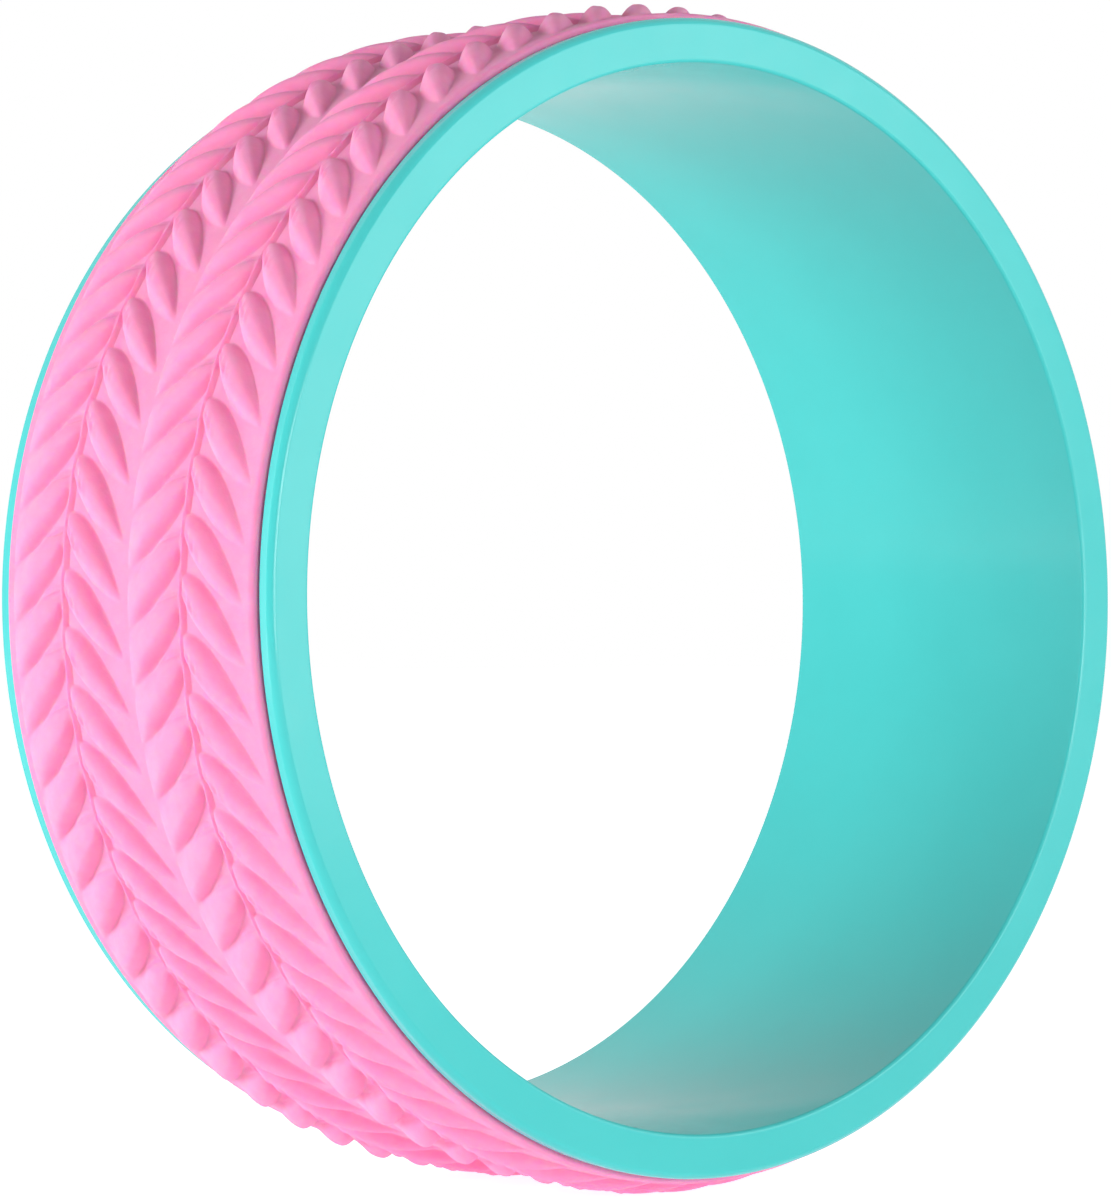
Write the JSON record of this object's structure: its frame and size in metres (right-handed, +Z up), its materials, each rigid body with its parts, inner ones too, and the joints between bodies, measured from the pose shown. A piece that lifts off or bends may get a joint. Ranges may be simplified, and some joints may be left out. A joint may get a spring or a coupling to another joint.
{
  "type": "yoga wheel",
  "caption": "Yoga wheel: a stiff moulded plastic hoop with a grooved outside and a soft foam tread in a braided leaf relief, for back stretches and balance work.",
  "frame": {"origin": "middle of the wheel: on the axle line, halfway between the front and rear faces", "axes": "+Y along the wheel's axle line from the front face to the rear face, +Z up, +X to the right seen from the front"},
  "size_m": [0.3332, 0.12, 0.3332],
  "materials": {
    "ring_plastic": "glossy moulded turquoise",
    "bond": "dried contact adhesive",
    "tread_foam": "matte pink foam"
  },
  "bodies": {
    "root": {"core_ring": "ring_plastic", "glue_film": "bond", "tread_pad": "tread_foam"}
  },
  "joints": []
}
